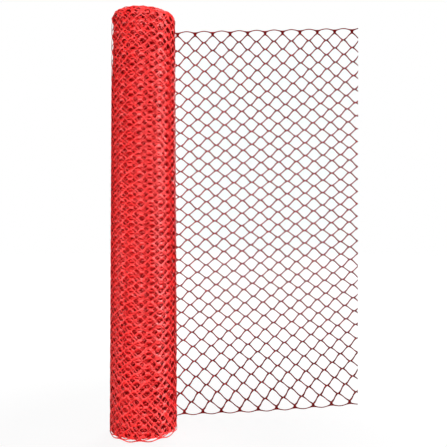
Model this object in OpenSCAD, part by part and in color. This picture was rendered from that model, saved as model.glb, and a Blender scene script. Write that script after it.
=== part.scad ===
// Roll of plastic safety fencing: one moulded strip of diamond mesh, wound on itself round an
// open bore and standing on end, with its last stretch unwound behind the roll.
// Z is up and X runs along the unwound stretch. The origin is on the roll's axis at the floor.

/* [Roll] */
// Turns of fencing wound into the roll
turns = 38; // [20:1:45]
// Radius of the open bore
bore_r = 25; // [15:1:40]
// Outer radius of the roll at its foot
foot_r = 99.5; // [90:0.5:130]
// Outer radius of the roll at its top
crown_r = 94.2; // [86:0.1:130]
// How much higher the inner turns sit than the outermost one
turn_lift = 9; // [3:0.5:20]
// Unevenness of the inner turns' edges, up and down
turn_waver = 1.2; // [0:0.1:2]
// Width of the groove that parts two turns
groove_w = 0.5; // [0.2:0.05:0.8]
// Depth of that groove
groove_d = 3; // [1:0.5:6]

/* [Strip] */
// Height of the strip, from scallop to scallop
strip_h = 1220; // [900:10:1500]
// Thickness of the strip
strip_t = 1.6; // [1:0.1:2.4]
// Width of a strand of the mesh
strand_w = 3.6; // [1.5:0.1:5]
// Width of the strand that runs along each edge
edge_w = 3; // [2:0.1:5]
// Depth of the scallops of that strand
scallop_d = 4; // [1:0.5:6]
// Height of the webs between that strand and the outermost joints
web_h = 8.5; // [6:0.5:16]
// Width of those webs at the joints
web_w = 6; // [3:0.5:8]
// Rows of cells between the edges
cell_rows = 28; // [18:1:32]
// Width of a cell, at the roll's mean radius
cell_w = 57.2; // [45:0.1:70]
// Length of the fused joint where two strands meet
joint_l = 2.5; // [1.5:0.5:8]
// Height of that joint
joint_h = 3; // [2:0.1:4.5]
// How far the sharp corners of a cell are blunted
corner_cut = 1.2; // [0.4:0.1:2]
// Extra height of the cells near both edges, as a share
edge_stretch = 0.13; // [0:0.01:0.25]
// Extra height of the cells near the foot, as a share
foot_stretch = 0.03; // [0:0.005:0.1]
// How far the rows of joints sit above and below an even spacing, in turn
row_stagger = 1; // [0:0.1:2]
// How far the columns of joints sway from side to side
column_sway = 4.4; // [0:0.1:6]

/* [Unwound stretch] */
// Reach of the stretch from the roll's axis to its cut end
run_l = 671; // [400:1:900]
// Rise of the stretch as it leaves the roll, in degrees
run_rise = 1.7; // [0:0.05:4]
// Extra rise of its lower corner at the cut end
corner_rise = 13; // [0:1:20]
// How far its lowest joints are dragged away from the roll
foot_drag = 41; // [0:1:55]
// How far they are dragged down
foot_sag = 16; // [0:1:20]
// Place of the first column of joints, past the roll's axis
first_joint = 16; // [0:0.5:28]
// Clearance between the stretch and the roll it leaves
run_gap = 0.05; // [0.02:0.01:0.3]

/* [Hidden] */
fence_colour = "orangered";

mid_r = (foot_r + crown_r) / 2;
lean = atan((foot_r - crown_r) / strip_h); // slope of the roll's side
column_w = cell_w / 2; // joints alternate between neighbouring columns
top_row = 2 * cell_rows - 1; // rows of joints are numbered from 0 at the foot
joint_in = scallop_d + edge_w + web_h; // outermost joints, in from the tips of the scallops
mesh_h = strip_h - 2 * joint_in;
sway_waves = 1.8; // sideways waves of a column over its height
drag_power = 12; // how quickly the drag at the foot fades upwards
corner_power = 3; // how quickly the rise of the lower corner fades
edge_steps = 3; // straight pieces of an edge in each column
web_flare = 6; // power of the curve by which a web widens to the edge

run_start = sqrt(2 * max(foot_r, crown_r) * strip_t) + run_gap;
columns = floor(run_l / column_w);
split_column = floor(columns / 2) + 0.5;

// ---- the mesh: joint (m, n) exists where m + n is even, and a cell where it is odd

function share(n) = n / top_row;

// The columns fan out with the radius of the roll's side, so they keep their angle round it
function fan(t) = (foot_r + (crown_r - foot_r) * t) / mid_r;
function pull(t) = pow(1 - t, drag_power);
function column_shift(t) = foot_drag * pull(t) + column_sway * sin(360 * sway_waves * t);
function column_x(m, t) = (m * column_w + first_joint) * fan(t) + column_shift(t);
function column_at(x, t) = ((x - column_shift(t)) / fan(t) - first_joint) / column_w;

function stretched(t) = t + t * (1 - t) * (edge_stretch * (1 - 2 * t) + foot_stretch);
function stagger(n) = n % 2 == 0 ? row_stagger : -row_stagger;
function row_z(n) = let(t = share(n))
    joint_in + mesh_h * stretched(t) + foot_sag * (1 - t - pull(t)) + stagger(n);

// A point of the stretch, lifted by its rise, with t as its share of the height
function raised(x, z, t) =
    [x, z + x * tan(run_rise) + corner_rise * pow(x / run_l * (1 - t), corner_power)];
function joint(m, n) = raised(column_x(m, share(n)), row_z(n), share(n));

// Where the line through p along u meets the line through q along v
function meet(p, u, q, v) = p + u * (cross(q - p, v) / cross(u, v));
// A point beside the strand from p to q, half a strand to its right
function beside(p, q) = let(d = (q - p) / norm(q - p)) p + [d.y, -d.x] * strand_w / 2;

half_joint = [joint_l / 2, 0];
row_line = [1, tan(run_rise)];
upright = [0, 1];

// The corners of a cell where two strands close at a joint, blunted: the strands run p to j to q
function blunt_corner(p, j, q, blunting) = let(
    a = beside(p, j), b = beside(j, q),
    tip = meet(a, j - p, b, q - j),
    cut = [tip.x - blunting, tip.y])
    [meet(a, j - p, cut, upright), meet(b, q - j, cut, upright)];

// Open area of the cell centred on (m, n), clockwise from the left end of its top
function cell(m, n) = let(
    high = joint(m, n + 1), high_l = high - half_joint, high_r = high + half_joint,
    low = joint(m, n - 1), low_l = low - half_joint, low_r = low + half_joint,
    right = joint(m + 1, n) - half_joint, left = joint(m - 1, n) + half_joint,
    under = high - [0, joint_h / 2], over = low + [0, joint_h / 2])
    concat(
        [meet(beside(left, high_l), high_l - left, under, row_line)],
        [meet(beside(high_r, right), right - high_r, under, row_line)],
        blunt_corner(high_r, right, low_r, corner_cut),
        [meet(beside(right, low_r), low_r - right, over, row_line)],
        [meet(beside(low_l, left), left - low_l, over, row_line)],
        blunt_corner(low_l, left, high_l, -corner_cut));

// ---- the edges: side is 0 along the foot and 1 along the top

function scallop(m) = scallop_d * (1 + cos(180 * m)) / 2;
function edge_point(m, side, inset) = let(z = scallop(m - side * top_row) + inset)
    raised(column_x(m, side), side == 0 ? z : strip_h - z, side);

function edge_columns(a, b) = concat([a],
    [for (k = [floor(a * edge_steps) + 1 : ceil(b * edge_steps) - 1]) k / edge_steps], [b]);

// Open area of the edge cell of column m, whose outer side is the edge strand and two webs
web_steps = [0.88, 0.8, 0.68, 0.5, 0.25, 0, -0.25, -0.5, -0.68, -0.8, -0.88];
function edge_cell(m, side) = let(
    n = side * top_row, inward = side == 0 ? 1 : -1,
    tip = joint(m, n + inward), tip_l = tip - half_joint, tip_r = tip + half_joint,
    right = joint(m + 1, n) - half_joint, left = joint(m - 1, n) + half_joint,
    under = tip - [0, inward * joint_h / 2], past_web = half_joint - [web_w / 2, 0],
    on_r = inward > 0 ? beside(tip_r, right) : beside(right, tip_r),
    on_l = inward > 0 ? beside(left, tip_l) : beside(tip_l, left))
    concat(
        [meet(on_l, tip_l - left, under, row_line), meet(on_r, right - tip_r, under, row_line)],
        [meet(on_r, right - tip_r, right + past_web, upright)],
        [for (u = web_steps) edge_point(m + u, side, edge_w + web_h * pow(abs(u), web_flare))],
        [meet(on_l, tip_l - left, left - past_web, upright)]);

// ---- the two lengths of the unwound stretch

// The line that parts them runs up through the middles of the strands of one half column
function split_line() = [for (n = [0 : top_row])
    raised(column_x(split_column, share(n)), row_z(n), share(n))];
function reversed(list) = [for (k = [len(list) - 1 : -1 : 0]) list[k]];
function run_edge(side, from, to) = [for (m = edge_columns(from, to)) edge_point(m, side, 0)];

module mesh_panel(outline, first, last)
    linear_extrude(strip_t) difference() {
        polygon(outline);
        for (n = [1 : top_row - 1], m = [first : last]) if ((m + n) % 2 != 0) polygon(cell(m, n));
        for (side = [0, 1], m = [first : last])
            if ((m + side * top_row) % 2 != 0) polygon(edge_cell(m, side));
    }

// Stands a panel up flat against the roll's back, so that its outer face is flush with it
module behind_roll()
    translate([0, foot_r, 0]) rotate([90 + lean, 0, 0]) children();

module run_near_roll() color(fence_colour) behind_roll() mesh_panel(
    concat(
        run_edge(0, column_at(run_start, 0), split_column),
        split_line(),
        reversed(run_edge(1, column_at(run_start, 1), split_column))),
    floor(column_at(run_start, 0)) - 1, ceil(split_column) + 1);

module run_cut_end() color(fence_colour) behind_roll() mesh_panel(
    concat(
        run_edge(0, split_column, column_at(run_l, 0)),
        reversed(run_edge(1, split_column, column_at(run_l, 1))),
        reversed(split_line())),
    floor(split_column) - 1, ceil(column_at(run_l, 1)) + 1);

// ---- the roll

// Lift of a turn's edges, counting turns from the outermost
function lift(turn) = turn == 0 ? 0
    : turn_lift * (1 - exp(-1.25 * turn)) + turn_waver * sin(147 * turn);

// The edges of all turns on one end, from the bore outwards: a land and a groove for each
function turn_edges(end_r, base, up) = let(pitch = (end_r - bore_r) / turns)
    [for (k = [0 : turns - 1], p = let(
            inner = bore_r + k * pitch, outer = inner + pitch,
            z = base + lift(turns - 1 - k),
            next = base + lift(max(turns - 2 - k, 0)),
            floor_z = up ? min(z, next) - groove_d : max(z, next) + groove_d)
        [[k == 0 ? inner : inner + groove_w / 2, z],
         [k == turns - 1 ? outer : outer - groove_w / 2, z],
         if (k < turns - 1) [outer, floor_z]]) p];

module wound_roll() color(fence_colour)
    rotate_extrude($fn = 180)
        polygon(concat(turn_edges(foot_r, 0, false), reversed(turn_edges(crown_r, strip_h, true))));

wound_roll();
run_near_roll();
run_cut_end();
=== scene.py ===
"""A roll of plastic safety fencing, standing on end with its last stretch unwound.

The whole strip of diamond mesh is made here: Geometry Nodes set out its joints flat, in columns and
rows, and then wind it round the bore. Lengths are in metres, as in the frame.
"""

import math

import bmesh
import bpy
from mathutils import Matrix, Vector


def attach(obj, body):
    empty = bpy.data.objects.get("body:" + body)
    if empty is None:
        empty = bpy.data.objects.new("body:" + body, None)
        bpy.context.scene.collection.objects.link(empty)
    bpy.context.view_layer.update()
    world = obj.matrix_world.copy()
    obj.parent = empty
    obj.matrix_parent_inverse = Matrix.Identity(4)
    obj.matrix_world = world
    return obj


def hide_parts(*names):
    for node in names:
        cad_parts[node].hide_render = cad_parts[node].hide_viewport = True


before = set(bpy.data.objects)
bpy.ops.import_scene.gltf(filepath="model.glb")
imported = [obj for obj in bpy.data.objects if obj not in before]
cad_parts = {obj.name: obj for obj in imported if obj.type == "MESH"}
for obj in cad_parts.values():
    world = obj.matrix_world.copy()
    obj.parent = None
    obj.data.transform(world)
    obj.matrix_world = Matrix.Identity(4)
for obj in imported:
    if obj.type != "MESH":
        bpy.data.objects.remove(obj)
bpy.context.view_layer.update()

MM = 0.001

# ---- sizes of the roll and of the strip, as in the part's source

TURNS = 38
BORE_R = 25 * MM  # radius of the open bore
FOOT_R = 99.5 * MM
CROWN_R = 94.2 * MM
TURN_LIFT = 9 * MM  # how much higher the inner turns sit than the outermost one
TURN_WAVER = 1.2 * MM  # unevenness of their edges, up and down
WAVER_ANGLE = math.radians(147)  # how far that moves on in a turn

STRIP_H = 1220 * MM
STRAND_W = 3.6 * MM
EDGE_W = 3 * MM  # width of the strand along each edge
SCALLOP_D = 4 * MM  # depth of its scallops
WEB_H = 8.5 * MM  # height of the webs between it and the outermost joints
WEB_FLARE = 6  # power of the curve by which a web widens to the edge
CELL_ROWS = 28
COLUMN_W = 28.6 * MM  # half a cell: joints alternate between neighbouring columns
JOINT_L = 2.5 * MM
JOINT_H = 3 * MM
EDGE_STRETCH = 0.13  # extra height of the cells near both edges, as a share
FOOT_STRETCH = 0.03  # and of those near the foot
ROW_STAGGER = 1 * MM  # how far the rows of joints sit above and below an even spacing, in turn
COLUMN_SWAY = 4.4 * MM  # how far the columns of joints sway from side to side
SWAY_WAVES = 1.8  # sideways waves of a column over its height

RUN_L = 671 * MM  # reach of the unwound stretch from the roll's axis to its cut end
RUN_RISE = math.tan(math.radians(1.7))
CORNER_RISE = 13 * MM  # extra rise of its lower corner at the cut end
CORNER_POWER = 3  # how quickly that fades
FOOT_DRAG = 41 * MM  # how far its lowest joints are dragged away from the roll
FOOT_SAG = 16 * MM  # how far they are dragged down
DRAG_POWER = 12  # how quickly the drag fades upwards
FIRST_JOINT = 16 * MM  # place of the first column of joints, past the roll's axis

MID_R = (FOOT_R + CROWN_R) / 2
TOP_ROW = 2 * CELL_ROWS - 1  # rows of joints are numbered from 0 at the foot
JOINT_IN = SCALLOP_D + EDGE_W + WEB_H  # outermost joints, in from the tips of the scallops
MESH_H = STRIP_H - 2 * JOINT_IN
ROW_PITCH = MESH_H / TOP_ROW

# ---- what only the finished mesh has

STRAND_HALF_T = 0.8 * MM  # half the thickness of a strand
EDGE_HALF_T = STRAND_HALF_T * 1.05  # half the thickness of the edge strand
JOINT_HALF_T = 0.9 * MM  # half the thickness of a joint, which is the strip's thickest place
WEB_HALF_T = 0.45 * MM  # half the thickness of the thin middle of a web
WEB_RAMP = 0.4 * WEB_H  # height of web over which it gets that thin
EDGE_SHOULDER = 0.25 * EDGE_W  # how far in from its sides the edge strand has its full thickness

NOTCH_FILLET = 0.5 * MM  # how far plastic fills the notch between two strands
NOTCH_LEAD = 1.8 * NOTCH_FILLET  # how far before the notch the last ring goes round both
JOINT_BULGE = 0.5 * MM  # how far the faces of that ring reach past it
WEB_SPLIT_X = 3.4 * MM  # at an edge joint, the last ring round both strand and web
WEB_BULGE_Y = 0.6 * MM  # middle of its faces, towards the edge
WEB_NOTCH = (4.2 * MM, 1.0 * MM)  # the notch between strand and web

OUTER_R = MID_R - JOINT_HALF_T  # middle of the strip, where the outermost turn starts
INNER_R = BORE_R + JOINT_HALF_T  # and where the innermost one ends
TURN_PITCH = (OUTER_R - INNER_R) / TURNS
PACK_GAP = 1.2 * MM  # how far the outermost turn stands off the others on the unwound side
CROWN_GAP = 4.5 * MM  # and at the top of the other side
CROWN_ZONE = (0.82, 0.94)  # shares of the height between which that gap opens
# How much closer the outer turns lie than the inner ones. 1 sets them evenly. At this value the
# outer 14 or so lie closer than the strip is thick, so that their strands pass into each other.
TIGHTNESS = 1.6
LIFT_START = 0.8  # turns from the outermost end at which the strip starts to climb and tuck in
LIFT_RATE = 1.25
TUCK_END = 1.25  # and at which it is fully tucked in
FOOT_EASE = 18 * MM  # how much less the foot edge is dragged along once the strip is wound
FOOT_EASE_RATE = 4.0  # how quickly that sets in, for each metre of wound strip

JITTER = 0.4 * MM  # unevenness of single joints
JITTER_WAVES = 28.0  # waves of it in a metre
JITTER_RAMP = 8.0  # how quickly the joints' heights take it up, inwards from both edges
CELLS_A_TURN = 10.44  # in each of the outer turns, so that strands fall beside those of the next
ROW_TILT = 3 * MM  # each of those turns is tilted this much more than the one outside it
ROW_FALL = 0.9 * MM  # and has its rows this much lower, away from the edges
EVEN_TURNS = 5  # how many turns keep to that
ASKEW_ZONE = (0.3, 1.3)  # turns from the outermost end between which it sets in
FOOT_RAMP, CROWN_RAMP = 8.0, 10.0  # how quickly the rows take it up, inwards from each edge
CROWN_SHARE = 0.15  # how much of it is left at the top edge
UNEVENNESS = 3 * MM  # slow drift of the wound columns from their even places
ROW_UNEVENNESS = 0.6  # share of it in the rows
DRIFT_WAVES = 2.2  # waves of it in a metre


# ---- one joint of the mesh, with half of each strand that meets in it


class Strand:
    """A strand that climbs from a joint at share 0 to the next column's at share 1."""

    def __init__(self, bend, root, waist):
        # bend: how far its slope at a joint falls short of an even slope
        # root and waist: its width at a joint and halfway along, as shares of STRAND_W
        self.bend, self.root, self.waist = bend, root, waist

    def middle(self, share):
        x = JOINT_L / 2 + (COLUMN_W - JOINT_L) * share
        y = ROW_PITCH * (share - self.bend * math.sin(2 * math.pi * share) / (2 * math.pi))
        return Vector((x, y))

    def across(self, share):
        rise = ROW_PITCH * (1 - self.bend * math.cos(2 * math.pi * share))
        return Vector((-rise, COLUMN_W - JOINT_L)).normalized()

    def half_width(self, share):
        slimming = 0.5 - 0.5 * math.cos(2 * math.pi * share)
        return STRAND_W / 2 * (self.root + (self.waist - self.root) * slimming)

    def parting(self):
        """Where it parts from the other strand of its joint: x of the notch, and x and height
        of the last ring round both of them."""
        shares = [k / 400 for k in range(200)]

        def reach(share):
            return self.half_width(share) / self.across(share).y

        notch = next(s for s in shares if self.middle(s).y > reach(s))
        notch_x = self.middle(notch).x + NOTCH_FILLET
        split = next(s for s in shares if self.middle(s).x > notch_x - NOTCH_LEAD)
        last = self.middle(split)
        return notch_x, last.x, last.y + reach(split)


def scallop(x):
    """How far the edge strand draws in from the strip's edge at x from a web."""
    return SCALLOP_D * (1 + math.cos(math.pi * x / COLUMN_W)) / 2


class Tile:
    """A piece of mesh made of rings. A ring starts on the far side of its strand from the notch
    between two strands, and passes over the strip's outer face before its inner one."""

    def __init__(self, sides, kind):
        self.sides, self.half, self.kind = sides, sides // 2, kind
        # points of a ring that lie off the joint's middle line, over the outer face and the inner
        self.fore, self.aft = range(self.half - 1), range(self.half + 2, sides)
        self.points, self.flanks, self.faces = [], [], []

    def point(self, x, y, z):
        """Adds a point, with its share of painted shade: 1 on a strand's sides, which are painted
        darker, and 0 on its faces.
        """
        self.points.append((x, y, z))
        self.flanks.append(1 - min(1, abs(z) / STRAND_HALF_T))
        return len(self.points) - 1

    def bridge(self, ring, following, flip=False):
        for k in range(len(ring)):
            n = (k + 1) % len(ring)
            face = (ring[k], ring[n], following[n], following[k])
            self.faces.append(face[::-1] if flip else face)

    def strand(self, first, shares, sx, sy):
        """Strand from the ring first up to its middle; sx and sy turn it to its quarter."""
        ring = first
        for share in shares:
            centre, normal = self.kind.middle(share), self.kind.across(share)
            half_w = self.kind.half_width(share)
            following = []
            for k in range(self.sides):
                angle = 2 * math.pi * k / self.sides
                p = centre + normal * half_w * math.cos(angle)
                following.append(self.point(p.x * sx, p.y * sy, STRAND_HALF_T * math.sin(angle)))
            self.bridge(ring, following, sx * sy < 0)
            ring = following

    def web(self, first, stations, sx, sy):
        """Web and edge strand from the ring first out to the middle of the edge cell."""
        ring = first
        for x in stations:
            following = [self.point(x * sx, y * sy, z) for y, z in self.web_section(x)]
            self.bridge(ring, following, sx * sy < 0)
            ring = following

    def web_section(self, x):
        """Ring through the edge strand and web at x, as heights towards the edge and depths."""
        outer = JOINT_IN - scallop(x)
        inner = outer - EDGE_W - WEB_H * (1 - x / COLUMN_W) ** WEB_FLARE
        thin = min(1, (outer - inner - EDGE_W) / WEB_RAMP)
        edge = (outer - EDGE_SHOULDER, STRAND_HALF_T)
        middle = ((outer + inner) / 2, EDGE_HALF_T + (WEB_HALF_T - EDGE_HALF_T) * thin)
        root = (inner + EDGE_SHOULDER, STRAND_HALF_T)
        side = {
            8: [edge, middle, root],
            6: [edge, root],
            4: [((outer + inner) / 2, STRAND_HALF_T)],
        }[self.sides]
        return [(outer, 0), *side, (inner, 0), *[(y, -z) for y, z in reversed(side)]]

    def quarter(self, x, height, sx, sy):
        """Points of the joint's own ring at x in one quarter, without those on its middle line."""
        found = {}
        for k in (*self.fore, *self.aft):
            step = k if k < self.half else k - self.sides
            angle = math.pi / 2 * step / (self.half - 1)
            y, z = height * math.cos(angle), JOINT_HALF_T * math.sin(angle)
            found[k] = self.point(x * sx, y * sy, z)
        return found

    def web_quarter(self, x, sx, sy):
        """The same points of a ring through the web."""
        section = self.web_section(x)
        return {k: self.point(x * sx, section[k][0] * sy, section[k][1])
                for k in (*self.fore, *self.aft)}

    def ring(self, part, front, notch, back):
        """Full ring of a strand where it leaves the joint."""
        shared = {self.half - 1: front, self.half: notch, self.half + 1: back}
        return [part[k] if k in part else shared[k] for k in range(self.sides)]

    def around(self, upper, lower, front, back):
        """Ring round the whole joint, from its top over the outer face."""
        return ([upper[k] for k in self.fore] + [front] + [lower[k] for k in reversed(self.fore)]
                + [lower[k] for k in reversed(self.aft)] + [back] + [upper[k] for k in self.aft])

    def finished(self, name):
        mesh = bpy.data.meshes.new(name)
        mesh.from_pydata(self.points, [], self.faces)
        mesh.shade_smooth()
        # mask of the painted shade that darkens the strands' sides
        flank = mesh.attributes.new("flank", "FLOAT", "POINT")
        flank.data.foreach_set("value", self.flanks)
        tile = bpy.data.objects.new(name, mesh)
        bpy.context.scene.collection.objects.link(tile)
        return tile


def joint_tile(name, kind, sides, shares, stations, edge):
    """Edge is 0 for a joint inside the mesh, -1 for one at the foot edge and 1 at the top edge."""
    tile = Tile(sides, kind)
    notch_x, split_x, split_h = kind.parting()
    webbed = {-1: edge == -1, 1: edge == 1}
    rings = []
    for sx in (-1, 1):
        quarters = {sy: tile.web_quarter(WEB_SPLIT_X, sx, sy) if webbed[sy]
                    else tile.quarter(split_x, split_h, sx, sy) for sy in (-1, 1)}
        if edge:
            x, y = WEB_NOTCH[0], WEB_NOTCH[1] * edge
            middle_x, middle_y = WEB_SPLIT_X, WEB_BULGE_Y * edge
        else:
            x, y, middle_x, middle_y = notch_x, 0, split_x + JOINT_BULGE, 0
        front = tile.point(middle_x * sx, middle_y, JOINT_HALF_T)
        notch = tile.point(x * sx, y, 0)
        back = tile.point(middle_x * sx, middle_y, -JOINT_HALF_T)
        for sy in (-1, 1):
            first = tile.ring(quarters[sy], front, notch, back)
            if webbed[sy]:
                tile.web(first, stations, sx, sy)
            else:
                tile.strand(first, shares, sx, sy)
        rings.append(tile.around(quarters[1], quarters[-1], front, back))
    if len(shares) > 2:  # the finer joints have a ring round their middle too
        halves = {sy: tile.web_quarter(0, 1, sy) if webbed[sy]
                  else tile.quarter(0, JOINT_H / 2, 1, sy) for sy in (-1, 1)}
        front = tile.point(0, 0, JOINT_HALF_T)
        back = tile.point(0, 0, -JOINT_HALF_T)
        rings.insert(1, tile.around(halves[1], halves[-1], front, back))
    for ring, following in zip(rings, rings[1:]):
        tile.bridge(ring, following)
    return tile.finished(name)


# ---- the tree that sets out the joints and winds the strip


class Formula:
    """A number in a node tree. Sums of such numbers become Math nodes."""

    def __init__(self, tree, socket):
        self.tree, self.socket = tree, socket

    def math(self, operation, *operands):
        node = self.tree.nodes.new("ShaderNodeMath")
        node.operation = operation
        for k, operand in enumerate(operands):
            if isinstance(operand, Formula):
                self.tree.links.new(operand.socket, node.inputs[k])
            else:
                node.inputs[k].default_value = operand
        return Formula(self.tree, node.outputs[0])

    def __add__(self, other):
        return self.math("ADD", self, other)

    def __radd__(self, other):
        return self.math("ADD", other, self)

    def __sub__(self, other):
        return self.math("SUBTRACT", self, other)

    def __rsub__(self, other):
        return self.math("SUBTRACT", other, self)

    def __mul__(self, other):
        return self.math("MULTIPLY", self, other)

    def __rmul__(self, other):
        return self.math("MULTIPLY", other, self)

    def __truediv__(self, other):
        return self.math("DIVIDE", self, other)

    def __pow__(self, other):
        return self.math("POWER", self, other)

    def __abs__(self):
        return self.math("ABSOLUTE", self)

    def sin(self):
        return self.math("SINE", self)

    def cos(self):
        return self.math("COSINE", self)

    def exp(self):
        return self.math("EXPONENT", self)

    def root(self):
        return self.math("SQRT", self)

    def whole(self):
        return self.math("FLOOR", self)

    def rest(self, divisor):
        return self.math("FLOORED_MODULO", self, divisor)

    def at_least(self, low):
        return self.math("MAXIMUM", self, low)

    def at_most(self, high):
        return self.math("MINIMUM", self, high)

    def eased(self, low, high):
        """0 below low, 1 above high and smooth between them."""
        share = ((self - low) / (high - low)).at_least(0.0).at_most(1.0)
        return share * share * (3.0 - 2.0 * share)


NOISE_SPAN = 2.6  # brings noise, which mostly keeps within 0.4 of a half, to about 1 either way
ROW_TOLERANCE = 0.1  # within which two row numbers are the same
A_LITTLE = 0.001  # keeps a whole quotient from falling short of itself
WELD = 0.02 * MM  # points of neighbouring joints closer than this are one


class Tree:
    """A Geometry Nodes tree with named inputs."""

    def __init__(self, name, inputs):
        self.tree = bpy.data.node_groups.new(name, "GeometryNodeTree")
        self.tree.is_modifier = True
        face = self.tree.interface
        face.new_socket("Geometry", in_out="OUTPUT", socket_type="NodeSocketGeometry")
        for label, (kind, value) in inputs.items():
            socket = face.new_socket(label, in_out="INPUT", socket_type="NodeSocket" + kind)
            if value is not None:
                socket.default_value = value
        self.inputs = self.node("NodeGroupInput")
        self.output = self.node("NodeGroupOutput")

    def node(self, kind, **settings):
        node = self.tree.nodes.new(kind)
        for key, value in settings.items():
            setattr(node, key, value)
        return node

    def join(self, source, target):
        self.tree.links.new(source.socket if isinstance(source, Formula) else source, target)

    def number(self, name):
        return Formula(self.tree, self.inputs.outputs[name])

    def vector(self, x, y, z):
        node = self.node("ShaderNodeCombineXYZ")
        for part, socket in zip((x, y, z), node.inputs):
            if isinstance(part, Formula):
                self.join(part, socket)
            else:
                socket.default_value = part
        return node.outputs[0]

    def parts(self, socket):
        node = self.node("ShaderNodeSeparateXYZ")
        self.join(socket, node.inputs[0])
        return [Formula(self.tree, out) for out in node.outputs]

    def wander(self, vector, seed):
        """Three smooth random numbers from about -1 to 1 for each place."""
        node = self.node("ShaderNodeTexNoise", noise_dimensions="4D")
        self.join(vector, node.inputs["Vector"])
        node.inputs["W"].default_value = seed
        node.inputs["Scale"].default_value = 1.0
        node.inputs["Detail"].default_value = 1.0
        return [(part - 0.5) * NOISE_SPAN for part in self.parts(node.outputs["Color"])]

    def equal(self, number, value):
        node = self.node("FunctionNodeCompare", data_type="FLOAT", operation="EQUAL")
        self.join(number, node.inputs["A"])
        node.inputs["B"].default_value = value
        node.inputs["Epsilon"].default_value = ROW_TOLERANCE
        return node.outputs[0]


TREE_INPUTS = {
    "Joint": ("Object", None),
    "Foot edge": ("Object", None),
    "Top edge": ("Object", None),
    "Plastic": ("Material", None),
    "First column": ("Int", 0),
    "Columns": ("Int", 10),
    "Column width": ("Float", COLUMN_W),
    "Row pitch": ("Float", ROW_PITCH),
    "Turn pitch": ("Float", TURN_PITCH),
    "Turn lift": ("Float", TURN_LIFT),
    "Pack gap": ("Float", PACK_GAP),
    "Crown gap": ("Float", CROWN_GAP),
    "Jitter": ("Float", JITTER),
    "Cells a turn": ("Float", CELLS_A_TURN),
    "Row tilt": ("Float", ROW_TILT),
    "Row fall": ("Float", ROW_FALL),
    "Unevenness": ("Float", UNEVENNESS),
}


def flat_strip(t):
    """The mesh laid out flat, with its columns of joints along X and their rows along Y."""
    # column by column, with every second row of each
    index = Formula(t.tree, t.node("GeometryNodeInputIndex").outputs[0])
    column = (index / float(CELL_ROWS) + A_LITTLE).whole() + t.number("First column")
    row = 2.0 * index.rest(float(CELL_ROWS)) + column.rest(2.0)
    points = t.node("GeometryNodePoints")
    t.join(t.number("Columns") * float(CELL_ROWS), points.inputs["Count"])
    t.join(t.vector(column * t.number("Column width"), row * t.number("Row pitch"), 0.0),
           points.inputs["Position"])
    foot, top = t.equal(row, 0.0), t.equal(row, float(TOP_ROW))
    inner = t.node("FunctionNodeBooleanMath", operation="NOR")
    t.join(foot, inner.inputs[0])
    t.join(top, inner.inputs[1])

    joined = t.node("GeometryNodeJoinGeometry")
    for label, chosen in (("Joint", inner.outputs[0]), ("Foot edge", foot), ("Top edge", top)):
        info = t.node("GeometryNodeObjectInfo", transform_space="ORIGINAL")
        t.join(t.inputs.outputs[label], info.inputs["Object"])
        setter = t.node("GeometryNodeInstanceOnPoints")
        t.join(points.outputs[0], setter.inputs["Points"])
        t.join(chosen, setter.inputs["Selection"])
        t.join(info.outputs["Geometry"], setter.inputs["Instance"])
        t.join(setter.outputs[0], joined.inputs[0])
    realized = t.node("GeometryNodeRealizeInstances")
    t.join(joined.outputs[0], realized.inputs[0])
    welded = t.node("GeometryNodeMergeByDistance")
    t.join(realized.outputs[0], welded.inputs["Geometry"])
    welded.inputs["Distance"].default_value = WELD
    return welded.outputs[0]


def side_radius(share):
    """Radius of the roll's side at a share of its height."""
    return FOOT_R + share * (CROWN_R - FOOT_R)


def turns_over(length, pitch):
    """How many turns, from the outermost end, length of the strip makes on the roll."""
    root = (OUTER_R ** 2 - pitch * length.at_least(0.0) / math.pi).at_least(0.0).root()
    return (OUTER_R - root) / pitch


def askew_drifts(t, x, y):
    """How far the wound strip lies askew at a point of the flat one, along it and upwards.

    The outer turns lie evenly askew of one another, so that their strands do not fall in line.
    """
    slow = t.wander(t.vector(x * DRIFT_WAVES, y * DRIFT_WAVES, 0.0), seed=12.0)
    unevenness, pitch = t.number("Unevenness"), t.number("Turn pitch")
    turn = turns_over(-1.0 * x, pitch)
    even_turn = turn.at_most(float(EVEN_TURNS))
    length = even_turn * (OUTER_R - even_turn * pitch * 0.5) * (2 * math.pi)
    length_of_cells = even_turn * t.number("Cells a turn") * t.number("Column width") * 2.0
    tilt = t.number("Row tilt") * (turn * (2 * math.pi)).sin() - t.number("Row fall")
    set_in = turn.eased(*ASKEW_ZONE)
    return (set_in * (length_of_cells - length + slow[0] * unevenness),
            set_in * (even_turn * tilt + slow[1] * unevenness * ROW_UNEVENNESS))


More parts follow.
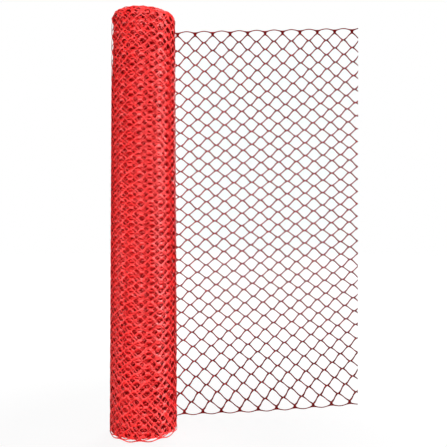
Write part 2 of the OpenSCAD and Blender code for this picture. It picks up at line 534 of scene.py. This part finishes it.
def strip_place(t, x, y):
    """Where a point of the flat mesh comes to lie on the strip: its length past the place where
    the strip leaves the roll, its height above the floor, and its share of the mesh's height."""
    row_pitch, jitter = t.number("Row pitch"), t.number("Jitter")
    small = t.wander(t.vector(x * JITTER_WAVES, y * JITTER_WAVES, 0.0), seed=3.0)
    column_drift, row_drift = askew_drifts(t, x, y)

    rows = y / row_pitch
    inside = rows.at_least(0.0).at_most(float(TOP_ROW))
    past_edge = (rows - inside) * row_pitch
    share = inside / float(TOP_ROW)
    low = 1.0 - share
    pull = low ** float(DRAG_POWER)
    sway = (share * (2 * math.pi * SWAY_WAVES)).sin() * COLUMN_SWAY
    wound_share = 1.0 - (x.at_most(0.0) * FOOT_EASE_RATE).exp()
    shift = pull * (FOOT_DRAG - wound_share * FOOT_EASE) + sway
    along = (x + FIRST_JOINT + shift / (side_radius(share) / MID_R)
             + small[0] * jitter + column_drift)

    spread = share + share * low * ((low - share) * EDGE_STRETCH + FOOT_STRETCH)
    stagger = (inside * math.pi).cos() * (1.0 - abs(past_edge) / JOINT_IN) * ROW_STAGGER
    within = (share * low * JITTER_RAMP).at_most(1.0)
    off_edges = ((share * FOOT_RAMP).at_most(1.0)
                 * (low * CROWN_RAMP + CROWN_SHARE).at_most(1.0))
    height = (JOINT_IN + spread * MESH_H + (low - pull) * FOOT_SAG + stagger + past_edge
              + within * small[1] * jitter + off_edges * row_drift)
    return along, height, share


def roll_place(t, along, height, share, depth):
    """Where a place on the strip, and depth out of its middle, comes to lie in the frame."""
    pitch = t.number("Turn pitch")
    side_r = side_radius(share)

    # the part still on the roll, wound inwards from the outermost turn
    turn = turns_over(-1.0 * along, pitch)
    angle = turn * (2 * math.pi)
    leftward = angle.sin()
    inwards = 1.0 - (pitch * turn / (OUTER_R - INNER_R)) ** TIGHTNESS
    gap = (t.number("Pack gap") * (1.0 - leftward) * 0.5
           + t.number("Crown gap") * leftward.at_least(0.0) * share.eased(*CROWN_ZONE))
    tucked = turn.eased(LIFT_START, TUCK_END)
    radius = INNER_R + inwards * (side_r - JOINT_HALF_T - INNER_R - tucked * gap) + depth
    climb = 1.0 - ((turn - LIFT_START).at_least(0.0) * -LIFT_RATE).exp()
    lift = climb * (t.number("Turn lift") + (turn * WAVER_ANGLE).sin() * TURN_WAVER)

    # the stretch that has left the roll, flush with its back
    free = along.at_least(0.0) * (side_r / MID_R)
    corner = (free * (1.0 - share) / RUN_L) ** float(CORNER_POWER) * CORNER_RISE
    return t.vector(free - radius * leftward, radius * angle.cos(),
                    height + lift + free * RUN_RISE + corner)


def wound_mesh_tree():
    t = Tree("Diamond mesh wound on itself", TREE_INPUTS)
    x, y, depth = t.parts(t.node("GeometryNodeInputPosition").outputs[0])
    moved = t.node("GeometryNodeSetPosition")
    t.join(flat_strip(t), moved.inputs["Geometry"])
    t.join(roll_place(t, *strip_place(t, x, y), depth), moved.inputs["Position"])
    outwards = t.node("GeometryNodeFlipFaces")  # because the move mirrors the strip
    t.join(moved.outputs[0], outwards.inputs["Mesh"])
    finish = t.node("GeometryNodeSetMaterial")
    t.join(outwards.outputs[0], finish.inputs["Geometry"])
    t.join(t.inputs.outputs["Plastic"], finish.inputs["Material"])
    t.join(finish.outputs[0], t.output.inputs[0])
    return t.tree


def made_by(tree, name, **values):
    """The tree's result as a plain mesh object."""
    source = bpy.data.objects.new(name + "_source", bpy.data.meshes.new(name))
    bpy.context.scene.collection.objects.link(source)
    modifier = source.modifiers.new("Nodes", "NODES")
    modifier.node_group = tree
    for item in tree.interface.items_tree:
        key = item.name.lower().replace(" ", "_")
        if item.in_out == "INPUT" and key in values:
            modifier[item.identifier] = values[key]
    graph = bpy.context.evaluated_depsgraph_get()
    mesh = bpy.data.meshes.new_from_object(source.evaluated_get(graph))
    source.modifiers.remove(modifier)
    bpy.data.objects.remove(source)
    mesh.name = name
    piece = bpy.data.objects.new(name, mesh)
    bpy.context.scene.collection.objects.link(piece)
    return piece


def close_ends(piece, cut_at=None):
    """Caps every strand end, after cutting the piece off square past cut_at along X."""
    work = bmesh.new()
    work.from_mesh(piece.data)
    if cut_at is not None:
        everything = work.verts[:] + work.edges[:] + work.faces[:]
        bmesh.ops.bisect_plane(work, geom=everything, dist=1e-6, plane_co=(cut_at, 0, 0),
                               plane_no=(1, 0, 0), clear_outer=True)
    open_edges = [edge for edge in work.edges if edge.is_boundary]
    bmesh.ops.holes_fill(work, edges=open_edges, sides=0)
    work.to_mesh(piece.data)
    work.free()


# ---- the plastic

SHADES = (0.74, 0.018, 0.016, 1), (0.86, 0.032, 0.028, 1)  # it is mottled between these
SCUFFED = (0.92, 0.13, 0.11, 1)
# painted shade: the darker red painted on the strands' sides, where a rounded strand turns from the
# light
FLANK_SHADE = (0.48, 0.002, 0.003, 1)


def map_range(tree, socket, from_low, from_high, to_low, to_high):
    """Runs from to_low to to_high while socket runs from from_low to from_high."""
    node = tree.nodes.new("ShaderNodeMapRange")
    tree.links.new(socket, node.inputs["Value"])
    node.inputs["From Min"].default_value = from_low
    node.inputs["From Max"].default_value = from_high
    node.inputs["To Min"].default_value = to_low
    node.inputs["To Max"].default_value = to_high
    return node.outputs["Result"]


def fence_plastic():
    """Mottled red-orange polyethylene, scuffed paler, with painted shade darkening the flanks of
    its strands.
    """
    material = bpy.data.materials.new("fence_plastic")
    material.use_nodes = True
    tree = material.node_tree
    nodes, links = tree.nodes, tree.links
    shader = nodes["Principled BSDF"]
    place = nodes.new("ShaderNodeTexCoord").outputs["Object"]

    def noise(scale, detail, roughness=0.5):
        node = nodes.new("ShaderNodeTexNoise")
        links.new(place, node.inputs["Vector"])
        node.inputs["Scale"].default_value = scale
        node.inputs["Detail"].default_value = detail
        node.inputs["Roughness"].default_value = roughness
        return node.outputs["Fac"]

    def blend(factor, under, colour):
        node = nodes.new("ShaderNodeMix")
        node.data_type = "RGBA"
        links.new(factor, node.inputs["Factor"])
        links.new(under, node.inputs[6])
        node.inputs[7].default_value = colour
        return node.outputs[2]

    tone = nodes.new("ShaderNodeValToRGB")
    links.new(noise(scale=14, detail=3), tone.inputs["Fac"])
    for stop, place_of_stop, shade in zip(tone.color_ramp.elements, (0.3, 0.7), SHADES):
        stop.position, stop.color = place_of_stop, shade
    scuffs = noise(scale=420, detail=4, roughness=0.65)
    colour = blend(map_range(tree, scuffs, 0.56, 0.72, 0.0, 0.35), tone.outputs["Color"], SCUFFED)
    # painted shade on each strand's sides, so that it shows as a thin light line with dark edges
    flank = nodes.new("ShaderNodeAttribute")
    flank.attribute_name = "flank"
    colour = blend(map_range(tree, flank.outputs["Fac"], 0.0, 0.4, 0.0, 1.0), colour, FLANK_SHADE)
    links.new(colour, shader.inputs["Base Color"])
    dullness = map_range(tree, noise(scale=160, detail=3), 0.3, 0.7, 0.34, 0.5)
    links.new(dullness, shader.inputs["Roughness"])
    grain = nodes.new("ShaderNodeBump")
    grain.inputs["Strength"].default_value = 0.25
    grain.inputs["Distance"].default_value = 0.2 * MM
    links.new(noise(scale=900, detail=3), grain.inputs["Height"])
    links.new(grain.outputs["Normal"], shader.inputs["Normal"])
    shader.inputs["IOR"].default_value = 1.5
    shader.inputs["Specular IOR Level"].default_value = 0.4
    return material


# ---- the strip, in lengths that part at the middles of strands

FREE = Strand(bend=0.42, root=1.35, waist=0.92)
WOUND = Strand(bend=0.1, root=1.13, waist=0.82)  # straighter and slimmer, for a finer roll

# sides of a ring, and where the rings of a joint stand: along half a strand, as shares of the
# whole one, and along half an edge cell, in millimetres
FINE = dict(sides=8, shares=(0.16, 0.33, 0.5), stations=(4.5, 6.6, 10, 16, 22.3))
MEDIUM = dict(sides=6, shares=(0.2, 0.5), stations=(4.8, 8.5, 17))
COARSE = dict(sides=4, shares=(0.5,), stations=(5.2, 15))
GRADES = {"free": (FREE, FINE), "fine": (WOUND, FINE), "medium": (WOUND, MEDIUM),
          "coarse": (WOUND, COARSE)}

# name, grade of its joints, first and last column, and the CAD nodes it stands for: each length
# keeps under 200,000 triangles
LENGTHS = [
    ("unwound_run", "free", 0, 24, ["run_near_roll", "run_cut_end"]),
    ("outer_turn", "fine", -21, -1, ["wound_roll"]),
    ("turns_under_it", "medium", -62, -22, ["wound_roll"]),
    ("inner_turns", "coarse", -212, -63, ["wound_roll"]),
    ("inmost_turns", "coarse", -362, -213, ["wound_roll"]),
    ("turns_at_bore", "coarse", -509, -363, ["wound_roll"]),
]

plastic = fence_plastic()
tree = wound_mesh_tree()
tiles = {}
for grade, (kind, shape) in GRADES.items():
    stations = [x * MM for x in shape["stations"]] + [COLUMN_W]
    for place, edge in (("joint", 0), ("foot_edge", -1), ("top_edge", 1)):
        tiles[grade, place] = joint_tile(
            f"{grade}_{place}", kind, shape["sides"], shape["shares"], stations, edge)
for name, grade, first, last, nodes in LENGTHS:
    piece = made_by(
        tree, name, joint=tiles[grade, "joint"], foot_edge=tiles[grade, "foot_edge"],
        top_edge=tiles[grade, "top_edge"], plastic=plastic,
        first_column=first, columns=last - first + 1)
    close_ends(piece, RUN_L if name == "unwound_run" else None)
    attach(piece, "root")
    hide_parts(*nodes)
for tile in tiles.values():
    bpy.data.objects.remove(tile)

# ---- floor, light and camera

FLOOR_GLOW = 1.08  # white, with a little to spare for the dimmer matte share
FLOOR_FADE = (0.4, 1.4, 0.84, 1.0)  # between these two distances its share rises from and to these
WORLD_LIGHT = 0.05  # what falls on the object, while the background itself shows white

# name, place, aim, width and height, power, and the degrees its light keeps within: the first
# three are narrow beams on the roll, so the unwound stretch gets less light than the roll
LAMPS = [
    ("left_light", (-1.03, -0.38, 0.66), (-0.02, 0, 0.62), (0.12, 1.8), 0.92, 24),
    ("front_light", (-0.05, -1.1, 0.66), (-0.03, 0, 0.62), (0.06, 1.8), 1.0, 14),
    ("right_light", (0.98, -0.50, 0.66), (-0.03, 0, 0.62), (0.08, 1.8), 1.68, 15),
    ("top_light", (0.2, -0.2, 2.8), (0.2, 0, 0), (1.2, 1.2), 14, 180),
    ("back_light", (0.5, 2.2, 1.2), (0.1, 0, 0.6), (1.2, 1.2), 42, 180),
]

# level, square on but for a slight turn, from a little over a metre and a half away
CAMERA_PLACE = (0.1972, -1.5607, 0.614)
CAMERA_TURN = (90, 0, -1.5)  # in degrees
FOCAL_LENGTH, SENSOR_W = 41.96, 36  # in millimetres


def floor():
    """Pale floor that fades into the white background and keeps the shadow near the roll."""
    bpy.ops.mesh.primitive_circle_add(vertices=96, radius=9, fill_type="NGON")
    ground = bpy.context.object
    ground.name = "floor"
    material = bpy.data.materials.new("pale_floor")
    material.use_nodes = True
    tree = material.node_tree
    nodes, links = tree.nodes, tree.links
    nodes.remove(nodes["Principled BSDF"])
    matte = nodes.new("ShaderNodeBsdfDiffuse")
    matte.inputs["Color"].default_value = (0.8, 0.8, 0.8, 1)
    glow = nodes.new("ShaderNodeEmission")
    glow.inputs["Strength"].default_value = FLOOR_GLOW
    seen = Formula(tree, nodes.new("ShaderNodeLightPath").outputs["Is Camera Ray"])
    reach = nodes.new("ShaderNodeVectorMath")
    reach.operation = "LENGTH"
    links.new(nodes.new("ShaderNodeTexCoord").outputs["Object"], reach.inputs[0])
    share = seen * Formula(tree, map_range(tree, reach.outputs["Value"], *FLOOR_FADE))
    mixed = nodes.new("ShaderNodeMixShader")
    links.new(share.socket, mixed.inputs["Fac"])
    links.new(matte.outputs[0], mixed.inputs[1])
    links.new(glow.outputs[0], mixed.inputs[2])
    links.new(mixed.outputs[0], nodes["Material Output"].inputs["Surface"])
    ground.data.materials.append(material)


def soft_box(name, place, aim, size, power, spread):
    lamp = bpy.data.lights.new(name, "AREA")
    lamp.shape = "RECTANGLE"
    lamp.size, lamp.size_y = size
    lamp.energy = power
    lamp.spread = math.radians(spread)
    box = bpy.data.objects.new(name, lamp)
    box.location = place
    box.visible_camera = False
    box.rotation_euler = (Vector(aim) - Vector(place)).to_track_quat("-Z", "Y").to_euler()
    bpy.context.scene.collection.objects.link(box)


def surroundings():
    world = bpy.data.worlds.new("studio")
    bpy.context.scene.world = world
    world.use_nodes = True
    nodes, links = world.node_tree.nodes, world.node_tree.links
    background = nodes["Background"]
    background.inputs["Color"].default_value = (1, 1, 1, 1)
    seen = nodes.new("ShaderNodeLightPath").outputs["Is Camera Ray"]
    links.new(map_range(world.node_tree, seen, 0.0, 1.0, WORLD_LIGHT, 1.0),
              background.inputs["Strength"])


def camera():
    lens = bpy.data.cameras.new("camera")
    lens.sensor_width = SENSOR_W
    lens.lens = FOCAL_LENGTH
    eye = bpy.data.objects.new("camera", lens)
    eye.location = CAMERA_PLACE
    eye.rotation_euler = [math.radians(turn) for turn in CAMERA_TURN]
    bpy.context.scene.collection.objects.link(eye)
    bpy.context.scene.camera = eye


floor()
surroundings()
for lamp in LAMPS:
    soft_box(*lamp)
camera()
bpy.context.scene.view_settings.view_transform = "Standard"
